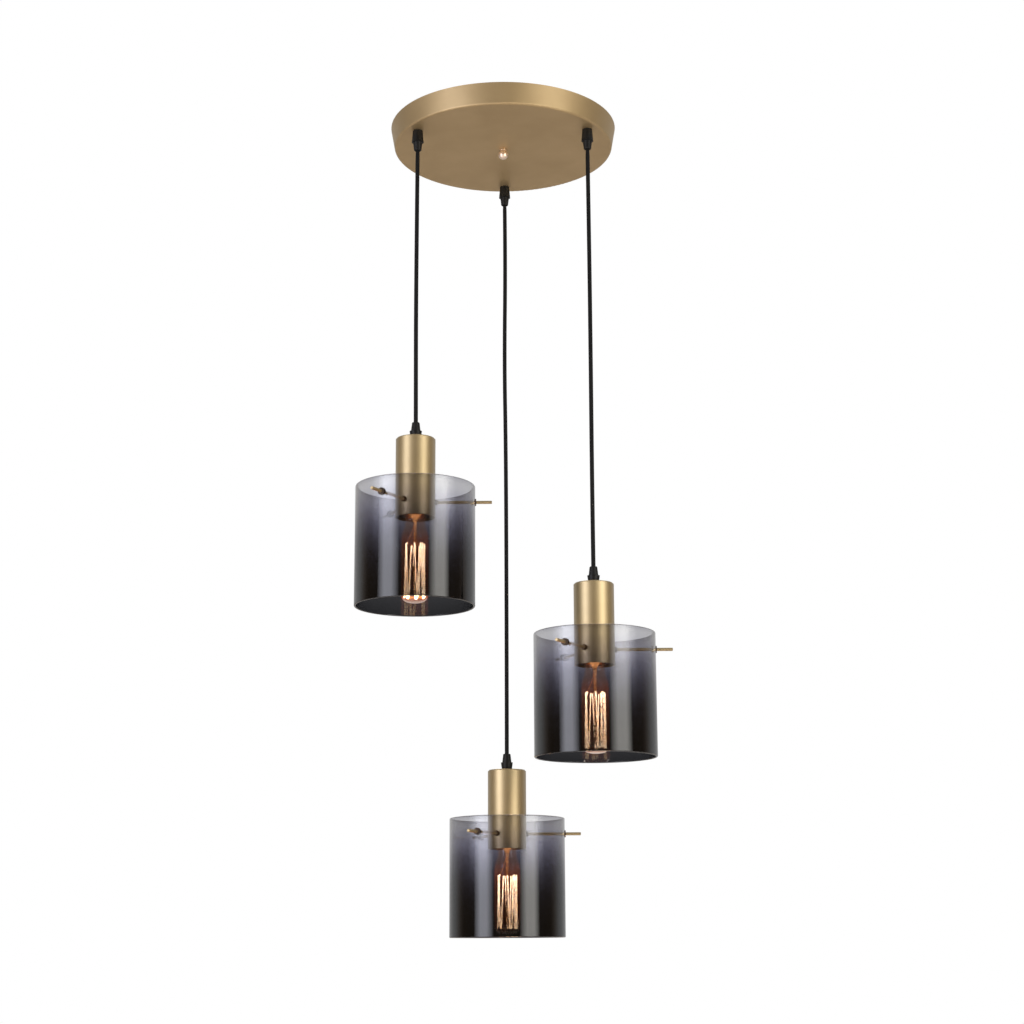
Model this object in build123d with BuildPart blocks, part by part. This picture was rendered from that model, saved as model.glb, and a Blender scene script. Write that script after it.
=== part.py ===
from build123d import *
import os
from math import cos, radians, sin, tan

# Cluster pendant: three glass lamps hung from one round ceiling canopy.
# Millimetres. The origin is the centre of the canopy on the ceiling plane, +Z is up,
# and everything hangs below Z = 0. Seen from the front, -Y is towards the viewer.

# ---- canopy -------------------------------------------------------------------
canopy_rim_r = 150.0          # at the ceiling
canopy_face_r = 145.0         # at the bottom face, before the edge is rounded
canopy_height = 28.0
canopy_sheet = 1.2
canopy_edge_r = 3.0
exit_inset = 17.0             # from the face's edge to each cord exit
exit_angles = {"left": 210.0, "right": 330.0, "back": 90.0}

# ---- ceiling bracket and its fixings --------------------------------------------
bracket_length = 130.0
bracket_width = 24.0
bracket_sheet = 1.5
bracket_drop = 8.0            # the middle stands this far off the ceiling
bracket_middle = 30.0         # flat length of the dropped middle
bracket_ramp_angle = 45.0
bracket_bend_r = 1.2
bracket_corner_r = 3.0
slot_spacing = 104.0
slot_length = 14.0
slot_width = 5.2
stud_d = 6.0
stud_gap = 0.05               # radial, stud in its nuts and holes
stud_chamfer = 0.6
stud_end_gap = 0.5            # above the bottom of the ball nut's bore
hex_nut_af = 10.0
hex_nut_h = 5.0
stud_in_ball = 7.0
ball_d = 13.0
ball_seat_d = 9.0
ball_seat_h = 1.6
block_length = 30.0
block_width = 16.0
block_height = 12.0
block_offset = 33.5           # from the stud to the middle of the terminal block
block_corner_r = 1.5
terminal_d = 3.4
terminal_well = 4.0           # depth of the screw wells
terminal_count = 3
earth_screw_d = 4.0
earth_screw_offset = 33.5
earth_head_d = 7.5
earth_head_h = 2.6

# ---- cords ----------------------------------------------------------------------
cord_d = 5.4
cord_gap = 0.3                # radial, cord in its bores; also end to end
cord_drops = {"left": 368.0, "right": 555.0, "back": 767.0}   # canopy grip to lamp grip
pivot_depth = 2.4             # the cord bends this far inside the canopy grip's mouth
lead_height = 12.0            # axis of the leads inside the canopy, below the ceiling
lead_bend_r = 9.0
lead_bow = 9.0                # sideways slack of a lead at its middle
lead_entry = 16.0             # straight run of a lead into the terminal block

# ---- cord grips -----------------------------------------------------------------
grip_base_d = 13.0
grip_shoulder_d = 15.6
grip_flats = 14.8             # across the six wrench flats on the shoulder
grip_cap_d = 12.2
grip_tip_d = 9.8
grip_cap_h = 11.4
grip_thread_d = 10.0
grip_spigot_h = 7.0
grip_thread_gap = 0.1
grip_thread_past_nut = 1.0
grip_tip_round = 1.3
grip_mouth_chamfer = 0.8
canopy_grip_h = 16.0
lamp_grip_h = 10.0
lock_nut_af = 14.0
lock_nut_h = 4.0

# ---- cup, nipple and lampholder ---------------------------------------------------
cup_d = 50.0
cup_length = 102.0
cup_wall = 1.2
cup_edge_r = 1.4
nipple_bore_d = 7.2
nipple_in_grip = 6.0
nipple_in_holder = 8.0
holder_drop = 50.0            # cup's top to the lampholder's top
holder_d = 40.0
holder_neck_d = 24.0
holder_shoulder_h = 9.0
holder_recess = 2.0           # from the cup's mouth to the lampholder's mouth
holder_edge_r = 1.5
shell_wall = 0.4
shell_gap = 0.3               # radial, bulb cap in the threaded shell
shell_lip = 1.2
tongue_thickness = 0.6
tongue_width = 5.0
tongue_rise = 1.5
tongue_end_gap = 2.0          # from the tongue's ends to the shell's bore

# ---- rods and their fittings --------------------------------------------------------
rod_angles = (0.0, 120.0, 240.0)
rod_d = 4.0
rod_drop = 82.8               # cup's top to the rods' axes
rod_overhang = 21.0           # beyond the glass
rod_end_chamfer = 0.5
rod_gap = 0.06                # radial, rod in its holes
rod_nut_d = 7.0
rod_nut_h = 3.0
rod_nut_chamfer = 0.5
grommet_lip_d = 9.0
grommet_lip_h = 1.2
grommet_neck_d = 6.4
glass_hole_gap = 0.25         # radial, grommet in the glass

# ---- glass shade ------------------------------------------------------------------
shade_d = 150.0
shade_height = 152.0
shade_wall = 2.6
shade_rim_r = 1.1
shade_drop = 62.5             # cup's top to the shade's upper rim

# ---- bulb ---------------------------------------------------------------------------
bulb_d = 34.0
bulb_length = 140.0
bulb_dome_h = 11.0
bulb_tip_gap = 7.0            # below the filament's lower bends
bulb_neck_d = 24.4
bulb_neck_h = 8.0             # straight neck below the cap
bulb_flare_h = 24.0           # from neck to full diameter
bulb_wall = 0.9
bulb_in_cap = 6.0
cap_d = 26.0
cap_length = 23.0
cap_wall = 0.4
cap_lead_in = 2.5             # tapered start of the cap, below the insulator
cap_crown_width = 3.0         # ring of the cap that holds the insulator
button_d = 9.0
button_h = 1.2
insulator_h = 3.0
insulator_top_d = 11.0
insulator_d = 19.0
stem_flare_h = 20.0
stem_flare_d = 21.0
stem_rod_d = 3.6
stem_gap = 0.2
stem_short = 4.7              # the rod ends above the filament's lower bends
filament_loops = 7
filament_wire_d = 1.0
filament_top_half_angle = 6.0     # half of the narrow bend over an upper hook
filament_foot_half_angle = 6.0    # half of the narrow bend under a lower hook
filament_first_angle = 265.0      # of the first upper hook, near the front
filament_top_d = 25.0
filament_foot_d = 27.0
filament_top_drop = 136.0     # cup's top to the filament's upper bends
filament_height = 67.0
support_wire_d = 0.8

# ---- sizes that follow from the ones above ---------------------------------------
exit_circle_r = canopy_face_r - exit_inset
cord_bore_r = cord_d / 2 + cord_gap
face_z = -canopy_height
mouth_z = face_z - canopy_grip_h - grip_cap_h
pivot_z = mouth_z + pivot_depth
shade_r = shade_d / 2
cup_r = cup_d / 2
rod_tip_r = shade_r + rod_overhang
holder_mouth = cup_length - holder_recess
bulb_end = filament_top_drop + filament_height + bulb_tip_gap
button_top = bulb_end - bulb_length
cap_top = button_top + button_h + insulator_h
cap_end = cap_top + cap_length
shell_r = cap_d / 2 + shell_gap
cavity_top = button_top - tongue_thickness - tongue_rise
stem_top = cap_end - bulb_in_cap
exits = {
    name: (exit_circle_r * cos(radians(a)), exit_circle_r * sin(radians(a)))
    for name, a in exit_angles.items()
}
cup_tops = {
    name: mouth_z - drop - lamp_grip_h - grip_cap_h for name, drop in cord_drops.items()
}
made = []


def finish(sub_part, label):
    """Name a finished sub-part and write it to its own file."""
    sub_part.part.label = label
    export_step(sub_part.part, f"parts/{label}.step")
    made.append(label)


def upward(x, y, z):
    """Upright plane on a vertical axis: local X runs outwards and local Y runs up."""
    return Plane(origin=(x, y, z), x_dir=(1, 0, 0), z_dir=(0, -1, 0))


def downward(x, y, z):
    """Upright plane on a vertical axis: local X runs outwards and local Y runs down."""
    return Plane(origin=(x, y, z), x_dir=(1, 0, 0), z_dir=(0, 1, 0))


def level(x, y, z):
    """Horizontal plane through a point."""
    return Plane(origin=(x, y, z))


def upright_axis(x, y):
    return Axis((x, y, 0), (0, 0, 1))


def along_rod(x, y, z, angle, reach):
    """Plane square to a rod, at a distance from the lamp's axis; its normal points outwards."""
    out = Vector(cos(radians(angle)), sin(radians(angle)), 0)
    return Plane(origin=Vector(x, y, z) + out * reach, x_dir=(0, 0, 1), z_dir=out)


# ---- canopy group -----------------------------------------------------------------
def make_canopy():
    """Spun pan: slightly tapered wall, rounded edge, holes for the stud and the cord grips."""
    inner_face = face_z + canopy_sheet
    lean = (canopy_rim_r - canopy_face_r) / canopy_height
    inner_face_r = canopy_face_r - canopy_sheet + lean * canopy_sheet
    with BuildPart() as canopy:
        with BuildSketch(Plane.XZ) as profile:
            with BuildLine():
                Polyline(
                    (0, face_z),
                    (canopy_face_r, face_z),
                    (canopy_rim_r, 0),
                    (canopy_rim_r - canopy_sheet, 0),
                    (inner_face_r, inner_face),
                    (0, inner_face),
                    close=True,
                )
            make_face()
            outer_corner = profile.vertices().sort_by_distance((canopy_face_r, face_z))[0]
            fillet(outer_corner, canopy_edge_r)
            inner_corner = profile.vertices().sort_by_distance((inner_face_r, inner_face))[0]
            fillet(inner_corner, canopy_edge_r - canopy_sheet)
        revolve(axis=Axis.Z)
        with BuildSketch(Plane.XY.offset(face_z)):
            Circle(stud_d / 2 + stud_gap)
            for x, y in exits.values():
                with Locations((x, y)):
                    Circle(grip_thread_d / 2 + grip_thread_gap)
        extrude(amount=canopy_sheet, mode=Mode.SUBTRACT)
    finish(canopy, "canopy")


def make_bracket():
    """Bent steel strap: its ends lie on the ceiling, its dropped middle carries the stud."""
    ramp = (bracket_drop - bracket_sheet) / tan(radians(bracket_ramp_angle))
    half = bracket_length / 2
    flat = bracket_middle / 2
    t = bracket_sheet
    shift = t * tan(radians(bracket_ramp_angle / 2))
    with BuildPart() as bracket:
        with BuildSketch(Plane.XZ) as profile:
            with BuildLine():
                Polyline(
                    (-half, 0),
                    (-flat - ramp, 0),
                    (-flat, -bracket_drop + t),
                    (flat, -bracket_drop + t),
                    (flat + ramp, 0),
                    (half, 0),
                    (half, -t),
                    (flat + ramp + shift, -t),
                    (flat + shift, -bracket_drop),
                    (-flat - shift, -bracket_drop),
                    (-flat - ramp - shift, -t),
                    (-half, -t),
                    close=True,
                )
            make_face()
            ends = profile.vertices().group_by(Axis.X)
            fillet([v for group in ends[1:-1] for v in group], bracket_bend_r)
        extrude(amount=bracket_width / 2, both=True)
        with BuildSketch(Plane.XY):
            with GridLocations(slot_spacing, 0, 2, 1):
                SlotOverall(slot_length, slot_width)
            Circle(stud_d / 2 + stud_gap)
            with Locations((-earth_screw_offset, 0)):
                Circle(earth_screw_d / 2 + stud_gap)
        extrude(amount=-bracket_drop - bracket_sheet, mode=Mode.SUBTRACT)
        fillet(bracket.edges().filter_by(Axis.Z).group_by(Axis.X)[0], bracket_corner_r)
        fillet(bracket.edges().filter_by(Axis.Z).group_by(Axis.X)[-1], bracket_corner_r)
    finish(bracket, "ceiling_bracket")


def make_fixings():
    """Stud with its two hex nuts on the strap, and the earth screw."""
    stud_top = -bracket_drop + bracket_sheet + hex_nut_h
    stud_end = face_z - stud_in_ball
    with BuildPart() as fixings:
        with BuildSketch(Plane.XY.offset(stud_end)):
            Circle(stud_d / 2)
        extrude(amount=stud_top - stud_end)
        chamfer(fixings.edges().group_by(Axis.Z)[0], stud_chamfer)
        for base in (-bracket_drop - hex_nut_h, -bracket_drop + bracket_sheet):
            with BuildSketch(Plane.XY.offset(base)):
                RegularPolygon(hex_nut_af / 2, 6, major_radius=False)
                Circle(stud_d / 2 + stud_gap, mode=Mode.SUBTRACT)
            extrude(amount=hex_nut_h)
        with BuildSketch(Plane.XY.offset(-bracket_sheet - earth_head_h)):
            with Locations((-earth_screw_offset, 0)):
                Circle(earth_head_d / 2)
        extrude(amount=earth_head_h)
        with BuildSketch(Plane.XY.offset(-bracket_sheet)):
            with Locations((-earth_screw_offset, 0)):
                Circle(earth_screw_d / 2)
        extrude(amount=bracket_sheet)
    finish(fixings, "stud_and_fixings")


def make_ball_nut():
    """Round decorative nut on the stud; its seat bears on the canopy's face."""
    centre = face_z - ball_seat_h - sqrt_drop(ball_d / 2, ball_seat_d / 2)
    with BuildPart() as ball_nut:
        with Locations((0, 0, centre)):
            Sphere(ball_d / 2)
        with BuildSketch(Plane.XY.offset(face_z)):
            Circle(ball_seat_d / 2)
        extrude(amount=-ball_seat_h - ball_d / 4)
        with BuildSketch(Plane.XY.offset(face_z)):
            Circle(stud_d / 2 + stud_gap)
        extrude(amount=-stud_in_ball - stud_end_gap, mode=Mode.SUBTRACT)
        split(bisect_by=Plane.XY.offset(face_z), keep=Keep.BOTTOM)
    finish(ball_nut, "ball_nut")


def sqrt_drop(radius, chord):
    """Depth from a ball's centre to the ring of the given radius on it."""
    return (radius * radius - chord * chord) ** 0.5


def make_terminal_block():
    """Block on the strap with one bored terminal and one screw well for each lead."""
    top = -bracket_sheet
    pitch = block_length / terminal_count
    with BuildPart() as block:
        with BuildSketch(Plane.XY.offset(top)):
            with Locations((block_offset, 0)):
                RectangleRounded(block_width, block_length, block_corner_r)
        extrude(amount=-block_height)
        with BuildSketch(Plane.YZ.offset(block_offset - block_width)):
            with Locations((0, -lead_height)):
                with GridLocations(pitch, 0, terminal_count, 1):
                    Circle(terminal_d / 2)
        extrude(amount=block_width * 2, mode=Mode.SUBTRACT)
        with BuildSketch(Plane.XY.offset(top - block_height)):
            with Locations((block_offset, 0)):
                with GridLocations(block_width / 2, pitch, 2, terminal_count):
                    Circle(terminal_d / 2)
        extrude(amount=terminal_well, mode=Mode.SUBTRACT)
    finish(block, "terminal_block")


def tube_on(path_points, radii, diameter):
    """Round tube along straight runs joined by tangent arcs."""
    with BuildPart() as tube:
        with BuildLine() as route:
            FilletPolyline(*path_points, radius=radii)
        with BuildSketch(Plane(origin=route.line @ 0, z_dir=route.line % 0)):
            Circle(diameter / 2)
        sweep()
    return tube.part


def bend_radius(before, corner, after):
    """As large as the two runs at a corner allow."""
    into = corner - before
    out = after - corner
    turn = into.get_angle(out)
    return 0.45 * min(into.length, out.length) / tan(radians(turn) / 2)


def make_inner_leads():
    """The cords' ends inside the canopy: up out of each grip, over and along to the block."""
    side_step = block_width / 4
    ends = {
        "left": (block_offset - side_step, -block_length / 2),
        "right": (block_offset + side_step, -block_length / 2),
        "back": (block_offset, block_length / 2),
    }
    low = pivot_z + cord_d / 2 + cord_gap
    with BuildPart() as leads:
        for name, (x, y) in exits.items():
            end = Vector(*ends[name], -lead_height)
            corner = Vector(x, y, -lead_height)
            entry = end + Vector(0, lead_entry if end.Y > 0 else -lead_entry, 0)
            side = (entry - corner).rotate(Axis.Z, 90).normalized()
            middle = (corner + entry) * 0.5 + side * lead_bow
            route = [Vector(x, y, low), corner, middle, entry, end]
            radii = [lead_bend_r]
            radii += [bend_radius(*route[i - 1:i + 2]) for i in (2, 3)]
            print(name, "lead radii", [round(r, 1) for r in radii])
            add(tube_on(route, radii, cord_d))
    finish(leads, "inner_leads")


# ---- cord grips -------------------------------------------------------------------
def grip_body(place, axis, body_h, screws_into_sheet):
    """Moulded grip body. Local Y runs from its seat towards its cap."""
    thread_r = grip_thread_d / 2
    spigot_r = thread_r - grip_thread_gap
    base = [(grip_base_d / 2, 0), (grip_shoulder_d / 2, body_h), (spigot_r, body_h)]
    tip = [(spigot_r, body_h + grip_spigot_h), (cord_bore_r, body_h + grip_spigot_h)]
    if screws_into_sheet:
        tail = canopy_sheet + lock_nut_h + grip_thread_past_nut
        foot = [(cord_bore_r, -tail), (thread_r, -tail), (thread_r, 0)]
    else:
        pocket_r = thread_r + stud_gap
        foot = [(cord_bore_r, nipple_in_grip), (pocket_r, nipple_in_grip), (pocket_r, 0)]
    with BuildPart() as body:
        with BuildSketch(place):
            with BuildLine():
                Polyline(*base, *tip, *foot, close=True)
            make_face()
        revolve(axis=axis)
        with BuildSketch(Plane(origin=place.origin)):
            RegularPolygon(grip_flats / 2, 6, major_radius=False)
        extrude(amount=body_h + grip_spigot_h + grip_cap_h, both=True, mode=Mode.INTERSECT)
    return body.part


def grip_cap(place, axis, body_h):
    """Tapered cap that screws over the spigot and closes on the cord."""
    seat = body_h
    inside = grip_thread_d / 2
    roof = seat + grip_spigot_h + grip_thread_gap
    top = seat + grip_cap_h
    flare = cord_bore_r + grip_mouth_chamfer
    with BuildPart() as cap:
        with BuildSketch(place):
            with BuildLine():
                tip_round = grip_tip_round
                Polyline(
                    (grip_tip_d / 2 - tip_round, top),
                    (flare, top),
                    (cord_bore_r, top - grip_mouth_chamfer),
                    (cord_bore_r, roof),
                    (inside, roof),
                    (inside, seat),
                    (grip_cap_d / 2, seat),
                    (grip_tip_d / 2, top - tip_round),
                )
                RadiusArc(
                    (grip_tip_d / 2, top - tip_round),
                    (grip_tip_d / 2 - tip_round, top),
                    -tip_round,
                )
            make_face()
        revolve(axis=axis)
    return cap.part


def make_canopy_grips():
    with BuildPart() as grips:
        for x, y in exits.values():
            place = downward(x, y, face_z)
            add(grip_body(place, upright_axis(x, y), canopy_grip_h, True))
            add(grip_cap(place, upright_axis(x, y), canopy_grip_h))
    finish(grips, "canopy_grips")


def make_canopy_grip_nuts():
    """Hexagonal lock nuts on the grips' threads, inside the canopy."""
    with BuildPart() as nuts:
        with BuildSketch(Plane.XY.offset(face_z + canopy_sheet)):
            for x, y in exits.values():
                with Locations((x, y)):
                    RegularPolygon(lock_nut_af / 2, 6, major_radius=False)
                    Circle(grip_thread_d / 2 + stud_gap, mode=Mode.SUBTRACT)
        extrude(amount=lock_nut_h)
    finish(nuts, "canopy_grip_nuts")


# ---- one lamp ---------------------------------------------------------------------
def make_cords(name, x, y):
    """Bend piece in the canopy grip, the hanging cord, and its end inside the lamp."""
    top = cup_tops[name]
    lamp_mouth = top + lamp_grip_h + grip_cap_h
    with BuildPart() as bend:
        with Locations((x, y, pivot_z)):
            Sphere(cord_d / 2)
    finish(bend, f"{name}_cord_top")

    with BuildPart() as cord:
        cord_start = pivot_z - cord_d / 2 - cord_gap
        with BuildSketch(level(x, y, cord_start)):
            Circle(cord_d / 2)
        extrude(amount=lamp_mouth - cord_start)
    finish(cord, f"{name}_cord")

    with BuildPart() as cord_end:
        with BuildSketch(level(x, y, lamp_mouth)):
            Circle(cord_d / 2)
        extrude(amount=top - holder_drop / 2 - lamp_mouth)
    finish(cord_end, f"{name}_cord_end")


def make_lamp_grip(name, x, y, top):
    with BuildPart() as grip:
        add(grip_body(upward(x, y, top), upright_axis(x, y), lamp_grip_h, False))
        add(grip_cap(upward(x, y, top), upright_axis(x, y), lamp_grip_h))
    finish(grip, f"{name}_cord_grip")


def make_nipple(name, x, y, top):
    """Hollow threaded tube from the grip down to the lampholder, with its nut in the cup."""
    low = top - holder_drop - nipple_in_holder
    high = top + nipple_in_grip
    with BuildPart() as nipple:
        with BuildSketch(level(x, y, low)):
            Circle(grip_thread_d / 2)
            Circle(nipple_bore_d / 2, mode=Mode.SUBTRACT)
        extrude(amount=high - low)
        with BuildSketch(level(x, y, top - cup_wall)):
            RegularPolygon(lock_nut_af / 2, 6, major_radius=False)
            Circle(grip_thread_d / 2 + stud_gap, mode=Mode.SUBTRACT)
        extrude(amount=-lock_nut_h)
    finish(nipple, f"{name}_nipple")


def make_cup(name, x, y, top):
    """Drawn cup: closed top with a rounded edge, open mouth, three holes for the rods."""
    with BuildPart() as cup:
        with BuildSketch(downward(x, y, top)):
            with BuildLine():
                Polyline(
                    (cup_r - cup_edge_r, 0),
                    (grip_thread_d / 2 + stud_gap, 0),
                    (grip_thread_d / 2 + stud_gap, cup_wall),
                    (cup_r - cup_wall, cup_wall),
                    (cup_r - cup_wall, cup_length),
                    (cup_r, cup_length),
                    (cup_r, cup_edge_r),
                )
                RadiusArc((cup_r, cup_edge_r), (cup_r - cup_edge_r, 0), -cup_edge_r)
            make_face()
        revolve(axis=upright_axis(x, y))
        for angle in rod_angles:
            with BuildSketch(along_rod(x, y, top - rod_drop, angle, cup_r / 2)):
                Circle(rod_d / 2 + rod_gap)
            extrude(amount=cup_r, mode=Mode.SUBTRACT)
    finish(cup, f"{name}_cup")


def make_lampholder(name, x, y, top):
    """Insulating lampholder body: necked top on the nipple, cavity for the threaded shell."""
    pocket_r = grip_thread_d / 2 + stud_gap
    pocket = holder_drop + nipple_in_holder
    cavity_r = shell_r + shell_wall + stud_gap
    with BuildPart() as holder:
        with BuildSketch(downward(x, y, top)):
            with BuildLine():
                Polyline(
                    (pocket_r, holder_drop),
                    (holder_neck_d / 2, holder_drop),
                    (holder_d / 2, holder_drop + holder_shoulder_h),
                    (holder_d / 2, holder_mouth - holder_edge_r),
                )
                RadiusArc(
                    (holder_d / 2, holder_mouth - holder_edge_r),
                    (holder_d / 2 - holder_edge_r, holder_mouth),
                    holder_edge_r,
                )
                Polyline(
                    (holder_d / 2 - holder_edge_r, holder_mouth),
                    (cavity_r, holder_mouth),
                    (cavity_r, cavity_top),
                    (nipple_bore_d / 2, cavity_top),
                    (nipple_bore_d / 2, pocket),
                    (pocket_r, pocket),
                    (pocket_r, holder_drop),
                )
            make_face()
        revolve(axis=upright_axis(x, y))
    finish(holder, f"{name}_lampholder")


def make_holder_contacts(name, x, y, top):
    """Threaded shell with a rolled lip at its mouth, and the centre tongue above the bulb."""
    outer = shell_r + shell_wall
    with BuildPart() as contacts:
        with BuildSketch(downward(x, y, top)):
            with BuildLine():
                Polyline(
                    (shell_r, cap_top),
                    (outer, cap_top),
                    (outer, holder_mouth),
                    (outer + shell_lip, holder_mouth),
                    (outer + shell_lip, holder_mouth + shell_wall),
                    (shell_r, holder_mouth + shell_wall),
                    close=True,
                )
            make_face()
        revolve(axis=upright_axis(x, y))
        run = shell_r - tongue_end_gap
        flat = button_d / 2
        with BuildSketch(downward(x, y, top)):
            with BuildLine():
                Polyline(
                    (-run, cavity_top),
                    (-flat - tongue_rise, cavity_top),
                    (-flat, cavity_top + tongue_rise),
                    (flat, cavity_top + tongue_rise),
                    (flat, button_top),
                    (-flat, button_top),
                    (-flat - tongue_rise, cavity_top + tongue_thickness),
                    (-run, cavity_top + tongue_thickness),
                    close=True,
                )
            make_face()
        extrude(amount=tongue_width / 2, both=True)
    finish(contacts, f"{name}_holder_contacts")


def make_rods(name, x, y, top):
    """Three straight rods screwed into the cup; the glass hangs on them."""
    z = top - rod_drop
    with BuildPart() as rods:
        for angle in rod_angles:
            with BuildSketch(along_rod(x, y, z, angle, cup_r - cup_wall)):
                Circle(rod_d / 2)
            extrude(amount=rod_tip_r - cup_r + cup_wall)
        rims = rods.edges().filter_by(GeomType.CIRCLE).sort_by_distance((x, y, z))
        chamfer(rims[-len(rod_angles):], rod_end_chamfer)
    finish(rods, f"{name}_rods")


def make_rod_nuts(name, x, y, top):
    """Round lock nut on each rod, tight against the cup."""
    z = top - rod_drop
    with BuildPart() as nuts:
        for angle in rod_angles:
            place = along_rod(x, y, z, angle, cup_r)
            with BuildSketch(place):
                Circle(rod_nut_d / 2)
            extrude(amount=rod_nut_h)
        rims = nuts.edges().filter_by(GeomType.CIRCLE).sort_by_distance((x, y, z))
        chamfer(rims[-len(rod_angles):], rod_nut_chamfer)
        for angle in rod_angles:
            with BuildSketch(along_rod(x, y, z, angle, cup_r)):
                Circle(rod_d / 2 + rod_gap)
            extrude(amount=rod_nut_h, mode=Mode.SUBTRACT)
    finish(nuts, f"{name}_rod_nuts")


def make_grommets(name, x, y, top):
    """Soft bush in each hole of the glass, with a lip inside and outside."""
    z = top - rod_drop
    lip_r = grommet_lip_d / 2
    inner_r = shade_r - shade_wall
    inside_lip = sqrt_drop(inner_r, lip_r) - stud_gap
    with BuildPart() as grommets:
        for angle in rod_angles:
            with BuildSketch(along_rod(x, y, z, angle, shade_r)):
                Circle(lip_r)
            extrude(amount=grommet_lip_h)
            with BuildSketch(along_rod(x, y, z, angle, inside_lip - grommet_lip_h)):
                Circle(lip_r)
            extrude(amount=grommet_lip_h)
            with BuildSketch(along_rod(x, y, z, angle, inside_lip - grommet_lip_h)):
                Circle(grommet_neck_d / 2)
            extrude(amount=shade_r - inside_lip + grommet_lip_h)
            with BuildSketch(along_rod(x, y, z, angle, inside_lip - grommet_lip_h)):
                Circle(rod_d / 2 + rod_gap)
            extrude(amount=shade_r - inside_lip + grommet_lip_h * 2, mode=Mode.SUBTRACT)
    finish(grommets, f"{name}_glass_grommets")


def make_shade(name, x, y, top):
    """Open glass cylinder with melted rims and three holes for the grommets."""
    with BuildPart() as shade:
        with BuildSketch(downward(x, y, top)):
            middle = (shade_r - shade_wall / 2, shade_drop + shade_height / 2)
            with Locations(middle):
                RectangleRounded(shade_wall, shade_height, shade_rim_r)
        revolve(axis=upright_axis(x, y))
        for angle in rod_angles:
            with BuildSketch(along_rod(x, y, top - rod_drop, angle, shade_r / 2)):
                Circle(grommet_neck_d / 2 + glass_hole_gap)
            extrude(amount=shade_r, mode=Mode.SUBTRACT)
    finish(shade, f"{name}_glass_shade")


# ---- one bulb ---------------------------------------------------------------------
def bulb_outline(inset):
    """Half outline of the envelope, from the neck's open end down to the domed tip.
    Returns its end on the axis and its end at the neck."""
    neck_r = bulb_neck_d / 2 - inset
    full_r = bulb_d / 2 - inset
    flare_start = cap_end + bulb_neck_h
    flare_end = flare_start + bulb_flare_h
    dome = bulb_end - bulb_dome_h
    dome_h = bulb_dome_h - inset
    Line((neck_r, stem_top), (neck_r, flare_start))
    Spline((neck_r, flare_start), (full_r, flare_end), tangents=[(0, 1), (0, 1)])
    Line((full_r, flare_end), (full_r, dome))
    tip = (0, dome + dome_h)
    Spline((full_r, dome), tip, tangents=[(0, 1), (-1, 0)])
    return tip, (neck_r, stem_top)


def make_bulb_glass(name, x, y, top):
    with BuildPart() as envelope:
        with BuildSketch(downward(x, y, top)):
            with BuildLine():
                outer_tip, outer_neck = bulb_outline(0)
                inner_tip, inner_neck = bulb_outline(bulb_wall)
                Line(outer_tip, inner_tip)
                Line(outer_neck, inner_neck)
            make_face()
        revolve(axis=upright_axis(x, y))
    finish(envelope, f"{name}_bulb_glass")


def make_bulb_cap(name, x, y, top):
    """Pressed cap shell, open below for the glass neck and above for the insulator."""
    r = cap_d / 2
    crown = insulator_d / 2
    lead_in = cap_top + cap_lead_in
    inner_r = r - cap_wall
    crown_bore_r = crown - cap_crown_width
    with BuildPart() as cap:
        with BuildSketch(downward(x, y, top)):
            with BuildLine():
                Polyline(
                    (crown_bore_r, cap_top),
                    (crown, cap_top),
                    (r, lead_in),
                    (r, cap_end),
                    (inner_r, cap_end),
                    (inner_r, lead_in + cap_wall),
                    (crown_bore_r, cap_top + cap_wall * 2),
                    close=True,
                )
            make_face()
        revolve(axis=upright_axis(x, y))
    finish(cap, f"{name}_bulb_cap")


def make_bulb_contact(name, x, y, top):
    """Insulator and solder button at the bulb's upper end."""
    with BuildPart() as contact:
        with BuildSketch(downward(x, y, top)):
            with BuildLine():
                Polyline(
                    (0, button_top),
                    (button_d / 2, button_top),
                    (button_d / 2, button_top + button_h),
                    (insulator_top_d / 2, button_top + button_h),
                    (insulator_d / 2, cap_top),
                    (0, cap_top),
                    close=True,
                )
            make_face()
        revolve(axis=upright_axis(x, y))
    finish(contact, f"{name}_bulb_contact")


def make_bulb_stem(name, x, y, top):
    """Glass stem: flare in the neck, pinch, and the rod down the middle of the cage."""
    pinch = stem_top + stem_flare_h
    rod_r = stem_rod_d / 2
    rod_end = filament_top_drop + filament_height - stem_short
    with BuildPart() as stem:
        with BuildSketch(downward(x, y, top)):
            with BuildLine():
                Polyline((0, stem_top), (stem_flare_d / 2, stem_top))
                Spline(
                    (stem_flare_d / 2, stem_top),
                    (rod_r, pinch),
                    tangents=[(-0.2, 1), (0, 1)],
                )
                Polyline((rod_r, pinch), (rod_r, rod_end - rod_r))
                RadiusArc((rod_r, rod_end - rod_r), (0, rod_end), -rod_r)
                Line((0, rod_end), (0, stem_top))
            make_face()
        revolve(axis=upright_axis(x, y))
    finish(stem, f"{name}_bulb_stem")


def bar(start, end, diameter):
    """Straight six-sided bar from one point to another."""
    run = end - start
    with BuildPart() as piece:
        with BuildSketch(Plane(origin=start, z_dir=run)):
            RegularPolygon(diameter / 2, 6)
        extrude(amount=run.length)
    return piece.part


def filament_route(x, y, high, low):
    """Zigzag round the stem, with a narrow bend at each upper and each lower hook."""
    step = 360.0 / filament_loops
    upper_r = filament_top_d / 2
    lower_r = filament_foot_d / 2
    route = []
    for i in range(filament_loops):
        hook = filament_first_angle + i * step
        foot = hook + step / 2
        for angle, r, z in (
            (hook - filament_top_half_angle, upper_r, high),
            (hook + filament_top_half_angle, upper_r, high),
            (foot - filament_foot_half_angle, lower_r, low),
            (foot + filament_foot_half_angle, lower_r, low),
        ):
            route.append(Vector(x + r * cos(radians(angle)), y + r * sin(radians(angle)), z))
    return route[1:-2]


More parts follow.
